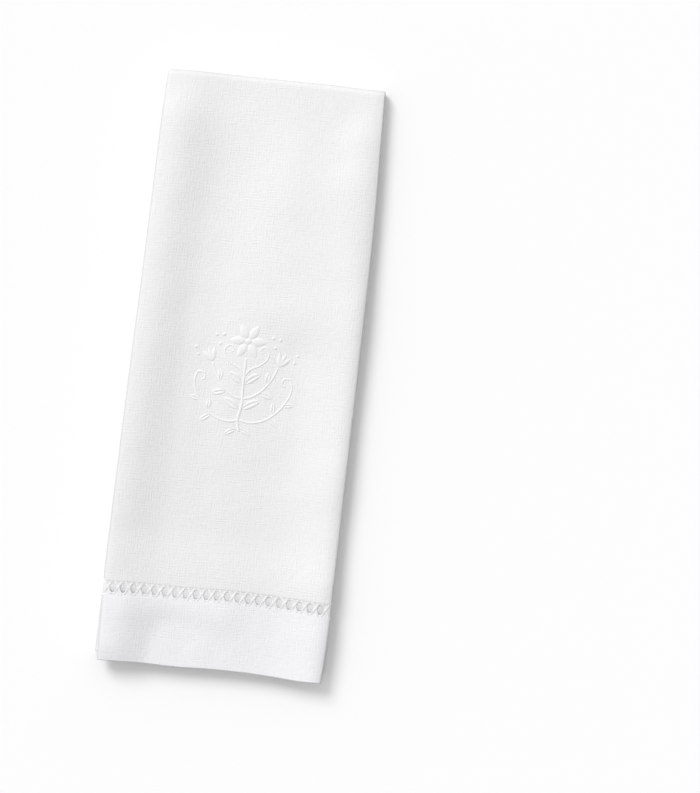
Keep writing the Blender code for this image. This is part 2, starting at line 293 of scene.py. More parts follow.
def ripple_height(x, y):
    """Many low waves of unlike lengths and directions."""
    chance = np.random.default_rng(RIPPLE_SEED)
    height = np.zeros_like(x)
    for length in np.geomspace(*RIPPLE_LENGTHS, RIPPLE_WAVES):
        angle = chance.uniform(0, math.pi)
        phase = chance.uniform(0, 2 * math.pi)
        turn = 2 * math.pi / length
        wave = np.sin(turn * (x * math.cos(angle) + y * math.sin(angle)) + phase)
        height += RIPPLE_HEIGHT * (length / RIPPLE_LENGTHS[1]) * wave
    return height


def lift(x, y, right, from_fold):
    """How far the folds lift the front panel off the layers below. A deep trough rests on them."""
    folds = LEAST_LIFT + sum(crease_height(crease, x, y) for crease in CREASES)
    rise = 1 - RIGHT_DROP * np.exp(-np.maximum(right - x, 0) / RIGHT_REACH)
    rise = rise * (1 - FOLD_DROP * np.exp(-np.maximum(from_fold, 0) / FOLD_REACH))
    return SETTLING * np.log1p(np.exp(folds / SETTLING)) * rise


def fold_sideways(u, out, left, right, pitch):
    """Places across a half: X, height over its inner side, and layer, from 0 to 2 for the panel."""
    half = CAD_SHEET / 2
    flat_left, flat_right = left + half + pitch, right - half - pitch / 2
    squeeze = np.minimum(1, (right - left - FLAP_CLEARANCE) / RIGHT_FLAP)
    left_turn = math.pi / 2 - math.pi * u / LEFT_BEND
    right_turn = math.pi / 2 - math.pi * (u - PANEL) / RIGHT_BEND
    zones = [u < -LEFT_BEND, u < 0, u <= PANEL, u < PANEL + RIGHT_BEND]
    x = np.select(zones, [
        flat_left + (-LEFT_BEND - u) * squeeze,
        flat_left + (pitch + out) * np.cos(left_turn),
        mix(flat_left, flat_right, u / PANEL),
        flat_right + (pitch / 2 + out) * np.cos(right_turn),
    ], flat_right - (u - PANEL - RIGHT_BEND) * squeeze)
    height = np.select(zones, [
        pitch / 2 - out,
        1.5 * pitch + (pitch + out) * np.sin(left_turn),
        2.5 * pitch + out,
        2 * pitch + (pitch / 2 + out) * np.sin(right_turn),
    ], 1.5 * pitch - out)
    layer = np.select(zones, [
        np.zeros_like(u),
        1 + np.sin(left_turn),
        np.full_like(u, 2.0),
        1.5 + np.sin(right_turn) / 2,
    ], 1.0)
    return x, height, layer


def bow_of_rows(x, s):
    """How far rows across the cloth bow from their straight lines."""
    down = np.abs(s)
    fold, band, hem, back_hem = (table_curve(BOWS, "x", name, x) for name in Bow._fields[1:])
    place = FRONT_LENGTH - HEM_DEPTH - BAND_HEIGHT / 2
    front = np.where(
        down < place,
        mix(fold, band, down / place),
        mix(band, hem, (down - place) / (FRONT_LENGTH - place)),
    )
    return np.where(s < 0, mix(fold, back_hem, down / BACK_LENGTH), front)


def folded(u, s, out):
    """Where points of the flat cloth lie in the folded towel."""
    u, s, out = (np.asarray(value, float) for value in np.broadcast_arrays(u, s, out))
    front = s > 0
    down = np.maximum(np.abs(s) - TOP_BEND, 0)
    y = FOLD_Y - down
    pitch = pitch_at(y)
    left, right = (
        np.where(
            front,
            table_curve(SIDES, "down", "front_" + side, down),
            table_curve(SIDES, "down", "back_" + side, down),
        )
        for side in ("left", "right")
    )
    x, height, layer = fold_sideways(u, out, left, right, pitch)

    turn = math.pi / 2 * np.clip(s / TOP_BEND, -1, 1)
    lowest = hem_thickness(BACK_LENGTH - np.abs(s)) / 2
    middle = lowest + 2.5 * pitch
    y = y + height * np.abs(np.cos(turn)) ** FOLD_SQUARENESS
    z = middle + height * np.sign(turn) * np.abs(np.sin(turn)) ** FOLD_SQUARENESS

    y = y + bow_of_rows(x, s)
    into_flap = np.clip(np.maximum(-u, u - PANEL) / FLAP, 0, 1)
    skew = FLAP_SKEW * into_flap * ease(down / FRONT_LENGTH)
    y = y + skew
    from_band = s - (FRONT_LENGTH - HEM_DEPTH - BAND_HEIGHT / 2) - NESTLE_SKEW * skew
    nestled = np.exp(-((from_band + NESTLE_RISE) / NESTLE_REACH) ** 4)
    nestled = nestled * np.where(u > PANEL, ease(into_flap * NESTLE_ONSET), 0)
    swell = SWELL * nestled * ease((1 - np.abs(from_band) / (BAND_HEIGHT / 2)) / SWELL_EDGE)
    share = mix(LOWEST_SHARE, 1, layer / 2)
    folds = np.where(front, lift(x, y, right, down) * np.sin(turn), 0)
    z = z + folds * mix(share, 1, nestled) + (pitch - NESTLED_PITCH) * nestled + swell
    way_up = 0.5 + (layer + 0.5) * np.sin(turn) / 5
    z = z + ripple_height(x, y) * way_up
    return np.stack([x, y, z], axis=-1)


class Pattern:
    """Points of the flat cloth, as U and S, and the faces between them."""

    def __init__(self):
        self.points = []
        self.faces = []

    def row(self, columns, s):
        start = len(self.points)
        self.points += [(u, s) for u in columns]
        return list(range(start, len(self.points)))

    def bridge(self, first, second):
        """Faces between two rows, whose points may stand at different places across."""
        i = j = 0
        while i + 1 < len(first) or j + 1 < len(second):
            next_first = self.points[first[i + 1]][0] if i + 1 < len(first) else math.inf
            next_second = self.points[second[j + 1]][0] if j + 1 < len(second) else math.inf
            if abs(next_first - next_second) < SAME_PLACE:
                self.faces.append((first[i], first[i + 1], second[j + 1], second[j]))
                i += 1
                j += 1
            elif next_first < next_second:
                self.faces.append((first[i], first[i + 1], second[j]))
                i += 1
            else:
                self.faces.append((first[i], second[j + 1], second[j]))
                j += 1

    def opening(self, outline, width, height):
        """An oval opening in a cell. OUTLINE holds the points round the cell's edge."""
        places = np.array([self.points[i] for i in outline])
        centre = (places.min(axis=0) + places.max(axis=0)) / 2
        angles = np.arctan2(*(places - centre).T[::-1])
        order = np.argsort(angles)
        outer = [outline[i] for i in order] + [outline[order[0]]]
        outer_angles = list(angles[order]) + [angles[order[0]] + 2 * math.pi]
        inner_angles = [
            outer_angles[0] + 2 * math.pi * i / OPENING_SIDES for i in range(OPENING_SIDES + 1)
        ]
        inner = list(range(len(self.points), len(self.points) + OPENING_SIDES))
        for angle in inner_angles[:-1]:
            away = np.array([math.cos(angle) * width, math.sin(angle) * height]) / 2
            self.points.append(tuple(centre + away))
        inner.append(inner[0])
        i = j = 0
        while i + 1 < len(outer) or j + 1 < len(inner):
            next_outer = outer_angles[i + 1] if i + 1 < len(outer) else math.inf
            next_inner = inner_angles[j + 1] if j + 1 < len(inner) else math.inf
            if next_outer <= next_inner:
                self.faces.append((outer[i], outer[i + 1], inner[j]))
                i += 1
            else:
                self.faces.append((outer[i], inner[j + 1], inner[j]))
                j += 1


def steps(start, stop, size):
    """Places from start up to stop, both included, no further apart than size."""
    return list(np.linspace(start, stop, max(2, math.ceil(abs(stop - start) / size) + 1)))


def flap_side(place, direction):
    """A place on a flap, measured outward from where its bend ends."""
    return PANEL + RIGHT_BEND + place if direction > 0 else -LEFT_BEND - place


def flap_width(direction):
    return RIGHT_FLAP if direction > 0 else FLAP


def middle_columns():
    columns = list(np.linspace(-LEFT_BEND, 0, BEND_STEPS + 1))
    columns += steps(0, PANEL, PANEL_STEP)[1:-1]
    columns += list(np.linspace(PANEL, PANEL + RIGHT_BEND, BEND_STEPS + 1))
    return columns


def side_edge_places(width):
    """Places on a flap near its free edge, close enough together to round it off."""
    inner = width - SIDE_HEM_WIDTH
    hem = [inner - SIDE_HEM_SHOULDER, inner]
    return hem + [width - HEM_ROUND, width - HEM_ROUND / 3, width]


def body_columns():
    columns = middle_columns()
    for direction in (-1, 1):
        width = flap_width(direction)
        places = steps(0, width - SIDE_HEM_WIDTH - 2 * MM, FLAP_STEP)[1:] + side_edge_places(width)
        columns += [flap_side(place, direction) for place in places]
    return sorted(columns)


def bundle_place(index):
    return FIRST_BUNDLE + BUNDLE_PITCH * index


def band_marks():
    """U places where cells of a band start, each with its opening's size, or None where plain."""
    marks = {}
    size = (OPENING_WIDTH, OPENING_HEIGHT)
    places = [FLAP_FIRST_BUNDLE + BUNDLE_PITCH * i for i in range(FLAP_BUNDLES)]
    for direction in (-1, 1):
        flap = sorted(flap_side(place, direction) for place in places)
        marks.update({u: None for u in flap})
        width = flap_width(direction)
        marks.update({flap_side(width - edge, direction): None for edge in (HEM_ROUND, 0)})
    marks.update({bundle_place(i): size for i in range(PANEL_BUNDLES - 1)})
    marks.update({bundle_place(PANEL_BUNDLES - 1): None, -LEFT_BEND: None})
    return sorted(marks.items())


def hemstitched_band(pattern, middle):
    """A band, with an oval opening between each two bundles. Its two edges are given back."""
    marks = band_marks()
    bends = list(np.linspace(-LEFT_BEND, 0, BEND_STEPS + 1))
    bends += list(np.linspace(PANEL, PANEL + RIGHT_BEND, BEND_STEPS + 1))
    edges = ([], [])
    inner = [middle + BAND_HEIGHT * share for share in BAND_ROWS]
    posts = [pattern.row([marks[0][0]], s)[0] for s in inner]
    for (start, size), (stop, _) in zip(marks, marks[1:]):
        columns = [start]
        if size:
            columns += [mix(start, stop, 1 / 3), mix(start, stop, 2 / 3)]
        columns += [u for u in bends if start + NEXT_PLACE < u < stop - NEXT_PLACE]
        columns = sorted(columns) + [stop]
        cell = []
        for side, s in zip(edges, (middle - BAND_HEIGHT / 2, middle + BAND_HEIGHT / 2)):
            made = side[-1:] + pattern.row(columns[1:] if side else columns, s)
            side += made[1:] if side else made
            cell.append(made)
        next_posts = [pattern.row([stop], s)[0] for s in inner]
        if size:
            pattern.opening(cell[0] + next_posts + cell[1][::-1] + posts[::-1], *size)
        else:
            rows = [
                [post] + pattern.row(columns[1:-1], s) + [next_post]
                for s, post, next_post in zip(inner, posts, next_posts)
            ]
            for first, second in zip([cell[0]] + rows, rows + [cell[1]]):
                pattern.bridge(first, second)
        posts = next_posts
    return edges


def half_of_cloth(pattern, sign, length, step):
    """The rows of one half, from the top bend to the band, and from the band to the hem's edge."""
    columns = body_columns()
    band = length - HEM_DEPTH - BAND_HEIGHT / 2
    stop = band - BAND_HEIGHT / 2
    near_band = [CUT_EDGE_REACH * share for share in NEAR_BAND_ROWS]
    places = steps(TOP_BEND, stop - near_band[0], step)[1:]
    places += [stop - distance for distance in near_band[1:]]
    body = [pattern.row(columns, sign * place) for place in places]
    edges = hemstitched_band(pattern, sign * band)
    near, far = edges if sign > 0 else reversed(edges)
    start = length - HEM_DEPTH
    places = [start + distance for distance in reversed(near_band[1:])]
    places += steps(start + near_band[0], length - LAST_HEM_ROW * HEM_ROUND, HEM_STEP)
    places += [length - HEM_ROUND * share for share in HEM_EDGE_ROWS]
    hem = [pattern.row(columns, sign * place) for place in places]
    return body + [near], [far] + hem


def flat_pattern():
    pattern = Pattern()
    columns = body_columns()
    fold = [pattern.row(columns, s) for s in np.linspace(-TOP_BEND, TOP_BEND, TOP_BEND_STEPS + 1)]
    back_body, back_hem = half_of_cloth(pattern, -1, BACK_LENGTH, BACK_STEP)
    front_body, front_hem = half_of_cloth(pattern, 1, FRONT_LENGTH, FRONT_STEP)
    for run in (back_hem[::-1], back_body[::-1] + fold + front_body, front_hem):
        for first, second in zip(run, run[1:]):
            pattern.bridge(first, second)
    return pattern


def new_object(name, points, faces, material):
    mesh = bpy.data.meshes.new(name)
    mesh.from_pydata(np.asarray(points).tolist(), [], [tuple(face) for face in faces])
    mesh.validate()
    bm = bmesh.new()
    bm.from_mesh(mesh)
    bmesh.ops.recalc_face_normals(bm, faces=bm.faces[:])
    bm.to_mesh(mesh)
    bm.free()
    mesh.shade_smooth()
    mesh.materials.append(material)
    thing = bpy.data.objects.new(name, mesh)
    bpy.context.scene.collection.objects.link(thing)
    return thing


def flat_coordinates(thing, flat):
    """Gives each point its place on the flat cloth, in millimetres, as texture coordinates."""
    layer = thing.data.uv_layers.new(name="flat_mm")
    corners = np.zeros(len(thing.data.loops), int)
    thing.data.loops.foreach_get("vertex_index", corners)
    layer.data.foreach_set("uv", (np.asarray(flat)[corners] / MM).ravel())


def rim_faces(faces, count):
    """Faces round every edge of the cloth, between its face and its back."""
    seen = {}
    for face in faces:
        for a, b in zip(face, face[1:] + face[:1]):
            key = (min(a, b), max(a, b))
            seen[key] = None if key in seen else (a, b)
    return [(b, a, a + count, b + count) for a, b in (pair for pair in seen.values() if pair)]


def cloth(material):
    pattern = flat_pattern()
    flat = np.array(pattern.points)
    half = thickness(flat[:, 0], flat[:, 1]) / 2
    points = np.concatenate([
        folded(flat[:, 0], flat[:, 1], half),
        folded(flat[:, 0], flat[:, 1], -half),
    ])
    count = len(flat)
    back = [tuple(i + count for i in reversed(face)) for face in pattern.faces]
    faces = pattern.faces + back + rim_faces(pattern.faces, count)
    thing = new_object("linen_cloth", points, faces, material)
    thing.data.set_sharp_from_angle(angle=SHARP_EDGE)
    flat_coordinates(thing, np.concatenate([flat, flat]))
    return thing


class Threads:
    """Threads and stitches in one mesh, with places along each as texture coordinates."""

    def __init__(self):
        self.points = []
        self.flat = []
        self.faces = []
        self.count = 0

    def tube(self, path, radius, sides):
        """A closed tube along a path of points in space."""
        along = np.gradient(path, axis=0)
        along /= np.linalg.norm(along, axis=1)[:, None]
        across = np.cross(along, (0, 0, 1))
        across /= np.maximum(np.linalg.norm(across, axis=1)[:, None], 1e-9)
        up = np.cross(across, along)
        angles = 2 * math.pi * np.arange(sides) / sides
        ring = (
            across[:, None] * np.cos(angles)[None, :, None]
            + up[:, None] * np.sin(angles)[None, :, None]
        )
        lengths = np.concatenate([[0], np.cumsum(np.linalg.norm(np.diff(path, axis=0), axis=1))])
        around = np.tile(np.abs(angles - math.pi) * radius, (len(path), 1))
        flat = np.stack([around, np.repeat(lengths, sides).reshape(-1, sides)], axis=2)
        self.loft(path[:, None] + ring * radius, flat / MM)

    def loft(self, rings, flat):
        """A closed body through rings of points. FLAT is each point's place, in millimetres."""
        rows, sides = rings.shape[:2]
        start = self.count
        self.points.append(rings.reshape(-1, 3))
        self.flat.append(flat.reshape(-1, 2) * MM)
        self.count += rows * sides
        for i in range(rows - 1):
            a, b = start + i * sides, start + (i + 1) * sides
            for j in range(sides):
                after = (j + 1) % sides
                self.faces.append((a + j, a + after, b + after, b + j))
        last = start + (rows - 1) * sides
        self.faces.append(tuple(start + j for j in reversed(range(sides))))
        self.faces.append(tuple(last + j for j in range(sides)))

    def build(self, name, material):
        thing = new_object(name, np.concatenate(self.points), self.faces, material)
        flat_coordinates(thing, np.concatenate(self.flat))
        return thing


# The strands of a bundle, tied where they cross: how far they stand aside from the bundle's place
# and how high over the cloth's middle, in millimetres, at shares of the way down the band
Strand = namedtuple("Strand", "share over over_height under under_height")
STRANDS = (
    Strand(0.00, 1.85, 0.13, -2.05, 0.13),
    Strand(0.20, 1.20, 0.15, -1.35, 0.15),
    Strand(0.45, 0.05, 0.27, -0.05, 0.10),
    Strand(0.72, -1.25, 0.17, 1.15, 0.15),
    Strand(1.00, -2.35, 0.15, 1.85, 0.15),
)
YARNS_A_STRAND = 5
YARN_RADIUS = 0.21 * MM
YARN_RADII = (0.9, 1.1)
YARN_SPREAD = 0.46 * MM
YARN_FLATNESS = 0.22
YARN_POINTS = 17
YARN_SIDES = 6
YARN_TURNS = 0.7
YARN_START = 0.5
YARN_SEED = 11
STRAND_OVERRUN = 0.05
STRAND_JITTER = 0.13
JITTER_SHARES = (1, 0.5, 0.5, 0.5, 1)

# Under the towel everything sewn is pressed down to this share of its height
PRESSED = 0.3

# The small ties over the strands' feet, and the row of stitches along the hem's edge of the band
TIE_HALF = 0.75 * MM
TIE_RADIUS = 0.13 * MM
TIE_INSET = 0.3 * MM
TIE_SLANT = 0.25 * MM
TIE_ARCH = 0.5 * MM
EDGE_STITCH = BUNDLE_PITCH / 4
EDGE_STITCH_RADIUS = 0.15 * MM
EDGE_STITCH_INSET = 0.3 * MM
EDGE_STITCH_SLANT = 0.12 * MM
EDGE_STITCH_ARCH = 0.2 * MM
EDGE_STITCH_JITTER = (0.08, 0.05)
STITCH_FOOT = 0.3 * MM
STITCH_POINTS = 9
STITCH_SIDES = 5


def strand_paths(which, u, near, far, pressed, chance):
    """The yarns of one strand, from inside the body's edge to inside the hem's edge."""
    t = np.linspace(-STRAND_OVERRUN, 1 + STRAND_OVERRUN, YARN_POINTS)
    shares = [row.share for row in STRANDS]
    aside = np.array([getattr(row, which) for row in STRANDS])
    aside = aside + chance.normal(0, STRAND_JITTER, len(aside)) * np.array(JITTER_SHARES)
    centre = smooth_curve(shares, aside, t) * MM
    height = smooth_curve(shares, [getattr(row, which + "_height") for row in STRANDS], t) * MM
    flatten = np.clip(1.15 - np.abs(2 * t - 1) ** 4, 0.3, 1)
    for i in range(YARNS_A_STRAND):
        angle = 2 * math.pi * (i / YARNS_A_STRAND + YARN_TURNS * t) + chance.uniform(0, YARN_START)
        across = centre + YARN_SPREAD * np.cos(angle)
        out = height + YARN_SPREAD * YARN_FLATNESS * np.sin(angle) * flatten
        yield folded(u + across, mix(near, far, t), out * (PRESSED if pressed else 1))


def tie_path(u, s, along, pressed):
    """A tie that arches over a strand's foot, or a stitch along the band's edge."""
    t = np.linspace(-1, 1, STITCH_POINTS)
    half, slant, arch = (
        (EDGE_STITCH / 2, EDGE_STITCH_SLANT, EDGE_STITCH_ARCH) if along
        else (TIE_HALF, TIE_SLANT, TIE_ARCH)
    )
    out = (STITCH_FOOT + arch * (1 - t**2)) * (PRESSED if pressed else 1)
    return folded(u + half * t, s + slant * t, out)


def hemstitching(material):
    """The drawn-thread bands of the front and the back panel, tied into crossing bundles."""
    chance = np.random.default_rng(YARN_SEED)
    threads = Threads()
    for sign, length in ((1, FRONT_LENGTH), (-1, BACK_LENGTH)):
        far = sign * (length - HEM_DEPTH)
        near = far - sign * BAND_HEIGHT
        for index in range(PANEL_BUNDLES):
            for which in ("under", "over"):
                for path in strand_paths(which, bundle_place(index), near, far, sign < 0, chance):
                    threads.tube(path, YARN_RADIUS * chance.uniform(*YARN_RADII), YARN_SIDES)
    return threads.build("hemstitch_bundles", material)


def edge_stitches(material):
    """Ties round the feet of the bundles, and a row of stitches, along each band's hem edge."""
    chance = np.random.default_rng(YARN_SEED + 1)
    jitter_u, jitter_s = EDGE_STITCH_JITTER
    threads = Threads()
    for sign, length in ((1, FRONT_LENGTH), (-1, BACK_LENGTH)):
        far = sign * (length - HEM_DEPTH)
        for index in range(PANEL_BUNDLES):
            for aside in (STRANDS[-1].over, STRANDS[-1].under):
                u = bundle_place(index) + (aside + chance.normal(0, STRAND_JITTER)) * MM
                path = tie_path(u, far - sign * TIE_INSET, False, sign < 0)
                threads.tube(path, TIE_RADIUS, STITCH_SIDES)
        for i in range(round(BUNDLE_PITCH * (PANEL_BUNDLES - 1) / EDGE_STITCH)):
            u = bundle_place(0) + (i + 0.5) * EDGE_STITCH + chance.normal(0, jitter_u) * MM
            s = far + sign * (EDGE_STITCH_INSET + chance.normal(0, jitter_s) * MM)
            threads.tube(tie_path(u, s, True, sign < 0), EDGE_STITCH_RADIUS, STITCH_SIDES)
    return threads.build("hemstitch_edge_stitches", material)


# The embroidery: an upright spray, in millimetres from its middle, with Y up. Every other stitch
# stands a little lower
SPRAY_X = 0.6 * MM
SPRAY_Y = -2.3 * MM
STITCH = 0.36
STITCH_PLACES = (0.0, 0.06, 0.2, 0.4, 0.6, 0.8, 0.94, 1.0)
SATIN_FOOT = 0.2
SATIN_EDGE = 0.1
SATIN_HEIGHT = 0.6
SATIN_ROUNDNESS = 0.55
SATIN_SLANT = 0.35
LOW_STITCH = 0.86

Stem = namedtuple("Stem", "name points width end_width height")
STEMS = (
    Stem(
        "middle stem",
        ((0.6, -33.5), (-0.9, -26), (0.5, -16), (0.0, -4), (0.0, 12.5)),
        1.9, 1.4, 0.75,
    ),
    Stem(
        "side branch",
        ((0.3, -13), (5.5, -11.5), (12, -6.5), (17.2, 1), (20.2, 8.5)),
        1.7, 1.2, 0.7,
    ),
    Stem(
        "lower tendril",
        ((0.0, -26), (6, -27.2), (14, -25.5), (21.5, -20), (27, -12.5), (29.8, -4.5), (28.2, 1.6),
         (24.4, 1.4), (23.8, -2.2), (26.3, -3.2)),
        1.7, 1.0, 0.7,
    ),
    Stem(
        "upper tendril",
        ((0.2, 1.5), (3.5, 5.5), (8.2, 8.0), (12.6, 12.0), (13.6, 17.0), (10.6, 19.6), (7.9, 17.3),
         (9.6, 15.0)),
        1.5, 0.9, 0.65,
    ),
)

Leaf = namedtuple("Leaf", "x y angle length width")
LEAVES = (
    Leaf(0.4, -4.5, 38, 11.5, 4.6),
    Leaf(0.2, -20.0, 30, 12.5, 4.8),
    Leaf(9.4, -9.0, -12, 9.5, 3.9),
    Leaf(14.6, -3.2, 84, 8.0, 3.5),
    Leaf(17.2, -23.4, -38, 8.0, 3.4),
    Leaf(25.2, -15.4, 12, 7.0, 3.0),
    Leaf(20.2, -21.4, 92, 7.5, 3.2),
    Leaf(0.6, -31.5, -28, 8.0, 3.2),
)

Bud = namedtuple("Bud", "x y angle length width petals spread")
BUDS = (Bud(20.4, 9.0, 66, 9.0, 3.4, 3, 27),)

# Berries: X, Y and radius
BERRIES = (
    (17.0, 20.0, 1.15), (19.6, 25.2, 1.0), (15.2, 25.8, 1.2), (29.6, 12.2, 1.0), (31.2, 16.6, 0.9),
)

FLOWER_Y = 22.6
FLOWER_PETALS = 6
PETAL_START = 2.2
PETAL_LENGTH = 9.2
PETAL_WIDTH = 5.6
FLOWER_HEART = 2.1

# How far along a petal is widest, and how full it is. Leaves bend and lean by shares of length
BLUNT = 0.62
ROUND = 0.5
PETAL_FULLNESS = 0.8
LEAF_FULLNESS = 0.85
LEAF_POINT = 0.82
LEAF_BEND = 0.06
LEAF_LEAN = 0.16
LEAF_MIDRIB = 0.08


def spray_place(x, y, out):
    """A point of the spray, in millimetres, on the folded front panel."""
    u = 0.5 * PANEL + (SPRAY_X + x * MM) * PANEL / (PANEL - 0.8 * MM) - 0.5 * MM
    s = TOP_BEND + FOLD_Y - SPRAY_Y - y * MM
    return folded(u, s, out * MM)


def resampled(points, step):
    """A smooth curve through points, as places a step apart."""
    points = np.array(points, float)
    lengths = np.concatenate([[0], np.cumsum(np.hypot(*np.diff(points, axis=0).T))])
    fine = np.linspace(0, lengths[-1], 40 * len(points))
    curve = np.stack([smooth_curve(lengths, points[:, i], fine) for i in (0, 1)], axis=1)
    along = np.concatenate([[0], np.cumsum(np.hypot(*np.diff(curve, axis=0).T))])
    even = np.linspace(0, along[-1], max(4, round(along[-1] / step)))
    return np.stack([np.interp(even, along, curve[:, i]) for i in (0, 1)], axis=1)


def satin(threads, starts, ends, height, mirror):
    """Raised satin stitches, each from a start to an end, close together over a padded core."""
    side = np.array([-1.0, 1.0]) if mirror else np.array([1.0, 1.0])
    starts, ends = starts * side, ends * side
    count = len(starts)
    t = np.array(STITCH_PLACES)
    bulge = np.sin(np.pi * np.clip(t, 0.03, 0.97)) ** SATIN_ROUNDNESS
    ridge = np.where(np.arange(count) % 2 == 0, 1.0, LOW_STITCH)
    tall = np.broadcast_to(np.asarray(height, float), (count,)) * ridge
    xy = starts[:, None] + (ends - starts)[:, None] * t[None, :, None]
    out = SATIN_FOOT + SATIN_EDGE + SATIN_HEIGHT * tall[:, None] * bulge[None]
    out[:, 0] = out[:, -1] = SATIN_FOOT
    rings = spray_place(xy[..., 0], xy[..., 1], out)
    width = np.hypot(*(ends - starts).T)
    along = np.repeat(np.arange(count) * STITCH / 2, len(t)).reshape(count, -1)
    threads.loft(rings, np.stack([t[None] * width[:, None], along], axis=2))


def stroke(threads, path, half_widths, heights, slant, mirror):
    """Satin stitches across a path."""
    along = np.gradient(path, axis=0)
    along /= np.hypot(*along.T)[:, None]
    across = np.stack([-along[:, 1], along[:, 0]], axis=1)
    offset = (across + along * slant) * half_widths[:, None]
    satin(threads, path + offset, path - offset, heights, mirror)


def stem(threads, row, mirror):
    path = resampled(row.points, STITCH / 2)
    t = np.linspace(0, 1, len(path))
    ends = np.sqrt(np.clip(np.minimum(t, 1 - t) * len(path) * STITCH / 2 / 0.9, 0.04, 1))
    widths = mix(row.width, row.end_width, t) / 2 * ends
    stroke(threads, path, widths, row.height * ends, SATIN_SLANT, mirror)


def petal(threads, x, y, angle, length, width, mirror, blunt=BLUNT):
    """A plump petal, widest beyond its middle, stitched across."""
    angle = math.radians(angle)
    t = np.linspace(0, 1, round(length / (STITCH / 2)))
    path = np.array([x, y]) + t[:, None] * length * np.array([math.cos(angle), math.sin(angle)])
    shape = np.sin(np.pi * np.clip(t, 0.015, 0.985) ** (1 / (2 * blunt))) ** PETAL_FULLNESS
    stroke(threads, path, width / 2 * shape, 0.35 + 0.55 * shape, 0.0, mirror)


def leaf(threads, row, mirror):
    """Two rows of slanted stitches on either side of a midrib."""
    angle = math.radians(row.angle)
    t = np.linspace(0, 1, round(row.length / (STITCH / 2)))
    direction = np.array([math.cos(angle), math.sin(angle)])
    across = np.array([-direction[1], direction[0]])
    bend = LEAF_BEND * row.length * np.sin(np.pi * t)
    rib = np.array([row.x, row.y]) + t[:, None] * row.length * direction + bend[:, None] * across
    outline = np.sin(np.pi * np.clip(t, 0.02, 0.98) ** LEAF_POINT) ** LEAF_FULLNESS
    outline = row.width / 2 * outline
    lean = np.minimum(LEAF_LEAN * row.length, (1 - t) * row.length)
    for turn in (-1, 1):
        inner = rib + across * LEAF_MIDRIB * turn
        edge = rib + direction * lean[:, None] + across * (outline * turn)[:, None]
        height = 0.25 + 0.5 * outline / (row.width / 2)
        satin(threads, inner, edge, height, mirror)


def embroidery(material):
    """White satin stitch: a flower on a stem, with leaves, buds, berries and curling tendrils."""
    threads = Threads()
    stem(threads, STEMS[0], False)
    for mirror in (False, True):
        for row in STEMS[1:]:
            stem(threads, row, mirror)
        for row in LEAVES:
            leaf(threads, row, mirror)
        for row in BUDS:
            for i in range(row.petals):
                turn = (i - (row.petals - 1) / 2) * row.spread
                petal(threads, row.x, row.y, row.angle + turn, row.length, row.width, mirror)
        for x, y, radius in BERRIES:
            petal(threads, x - radius, y, 0, 2 * radius, 2 * radius, mirror, ROUND)
    for i in range(FLOWER_PETALS):
        angle = 90 + 360 * (i + 0.5) / FLOWER_PETALS
        x = PETAL_START * math.cos(math.radians(angle))
        y = FLOWER_Y + PETAL_START * math.sin(math.radians(angle))
        petal(threads, x, y, angle, PETAL_LENGTH, PETAL_WIDTH, False)
    petal(threads, -FLOWER_HEART, FLOWER_Y, 0, 2 * FLOWER_HEART, 2 * FLOWER_HEART, False, ROUND)
    return threads.build("satin_embroidery", material)


# The linen, on the flat cloth in millimetres. Its yarns wander sideways, are crowned, and dip where
# they cross. Thicker and finer yarns run both ways, over a partly regular grain
YARN_PITCH = 0.56
YARN_CROWN = 0.6
YARN_DIP = 0.2
WANDER = 1.1
WANDER_WIDTH = 9
WANDER_LENGTH = 26
WEAVE_DEPTH = 0.05
SLUB_DEPTH = 0.16
SLUB_WIDTH = 0.85
SLUB_LENGTH = 10.0
FINE_WIDTH = 0.62
FINE_LENGTH = 5.0
WARP_SHARE = 1.1
WEFT_SHARE = 0.95
GRAIN_PITCH = 1.75
GRAIN_SHARE = 0.055

# Painted shade: how much lighter the cloth is painted on top of its yarns and slubs and darker deep
# between them. The slubs' part is partly the yarns' own uneven tone
LIGHT_BY_WEAVE = 0.9
LIGHT_BY_SLUBS = 0.6
LIGHT_START = -0.71
LINEN_COLOUR = (0.842, 0.84, 0.842, 1.0)
LINEN_SHADE_COLOUR = (0.798, 0.795, 0.798, 1.0)
LINEN_HOLLOW_SHADE = (0.765, 0.763, 0.765, 1.0)
HEM_COLOUR = (0.82, 0.82, 0.836, 1.0)
HEM_PAINTED_LIGHT_COLOUR = (0.85, 0.85, 0.866, 1.0)

# Where painted shade and light change the colour, and by how much: painted shade greyer towards the
# hem, less so to the right, where the hem is painted lighter, and in a trough right of the middle,
# and painted shade darker on steep folds, along the right fold, in the thin band and behind it
PAINTED_LIGHT_LEFT_TO_RIGHT = (80, 130)
TROUGH_SHADE_LEFT = (3, 28)
TROUGH_SHADE_RIGHT = (56, 28)
TROUGH_SHADE_SHARE = 0.6
PAINTED_SHADE_DOWN_TO_HEM = (80, 300)
HEM_BLEND = 0.5
STEEP_SHADE = 0.75
RIGHT_SHADE = 0.93
RIGHT_SHADE_IN = (129, 138)
RIGHT_SHADE_OUT = (144, 140)
BAND_SHADE = 0.93
BAND_SHADE_IN = (5.0, 4.1)
UNDER_BAND_SHADE = 0.91
UNDER_BAND_REACH = 7.0
SHADE_OUTSIDE_BAND = 5.0

# White thread: twisted yarn, and satin stitches with their fibres. Its colour is painted with shade
# deep between the rows and fibres, lighter on top
TWIST_LENGTH = 0.9
TWIST_WIDTH = 1.2
STITCH_FIBRE = (1.2, 0.07)
YARN_FIBRE = (0.07, 0.9)
ROW_DEPTH = 0.035
FIBRE_DEPTH = 0.03
LIGHT_BY_ROW = 0.6
LIGHT_BY_FIBRE = 0.7
THREAD_COLOUR = (0.88, 0.88, 0.88, 1.0)
THREAD_HOLLOW_SHADE = (0.79, 0.79, 0.79, 1.0)
FLOOR_COLOUR = (0.925, 0.929, 0.928, 1.0)
SHEEN_ROUGHNESS = 0.5
SPECULAR = 0.25
NOISE_ROUGHNESS = 0.55


